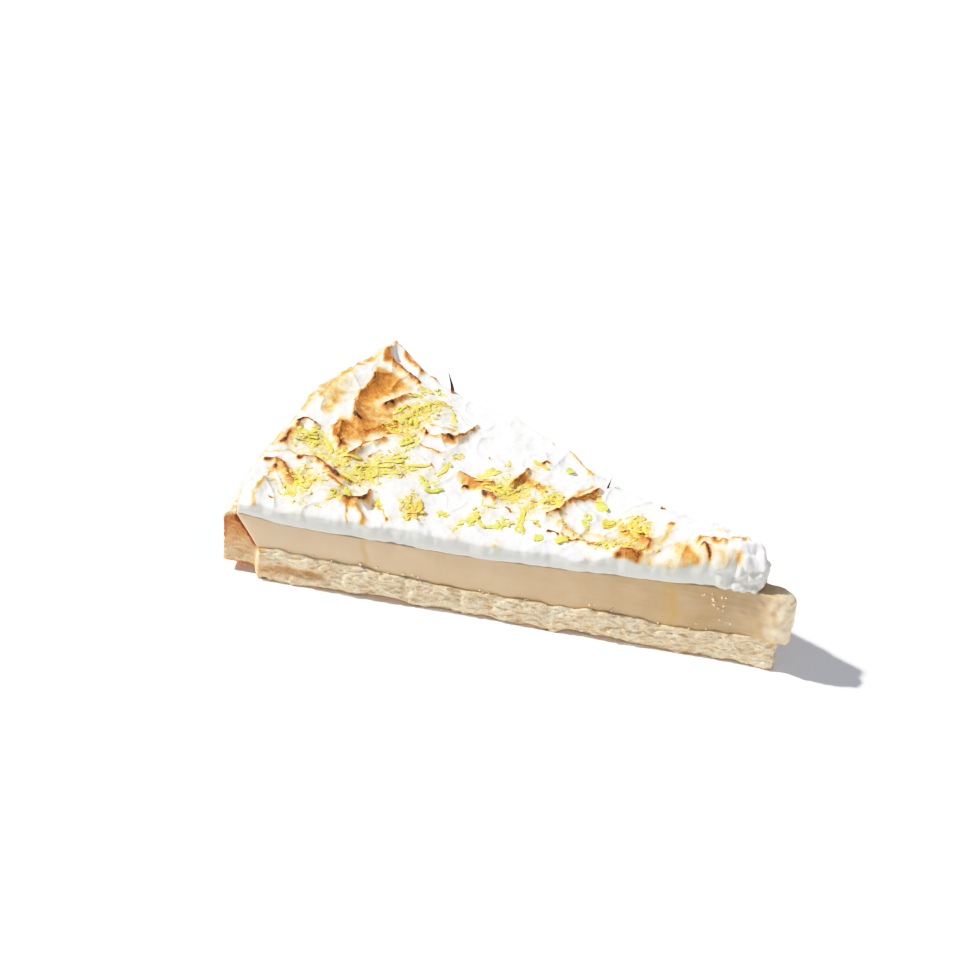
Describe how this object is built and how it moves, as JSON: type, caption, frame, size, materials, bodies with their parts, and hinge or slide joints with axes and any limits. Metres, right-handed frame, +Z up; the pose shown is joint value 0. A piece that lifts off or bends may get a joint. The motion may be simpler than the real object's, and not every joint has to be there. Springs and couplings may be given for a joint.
{
  "type": "lemon meringue pie slice",
  "caption": "Wedge of lemon meringue tart: shortbread base and rim, smooth lemon filling, torched meringue scattered with citrus zest.",
  "frame": {"origin": "middle of the flat underside, halfway between the point and the rim on the slice's centre line", "axes": "+X towards the point of the slice, -X towards the rim, +Z up, -Y out of the cut face that the picture shows"},
  "size_m": [0.141, 0.084, 0.0343],
  "materials": {
    "crust": "crumbly baked shortbread, browned on the rim",
    "filling": "smooth set lemon curd with a soft sheen, slightly translucent",
    "meringue": "soft white meringue, torched brown on its ridges",
    "zest": "moist grated citrus peel"
  },
  "bodies": {
    "root": {"crust": "crust", "filling": "filling", "meringue": "meringue"}
  },
  "joints": []
}
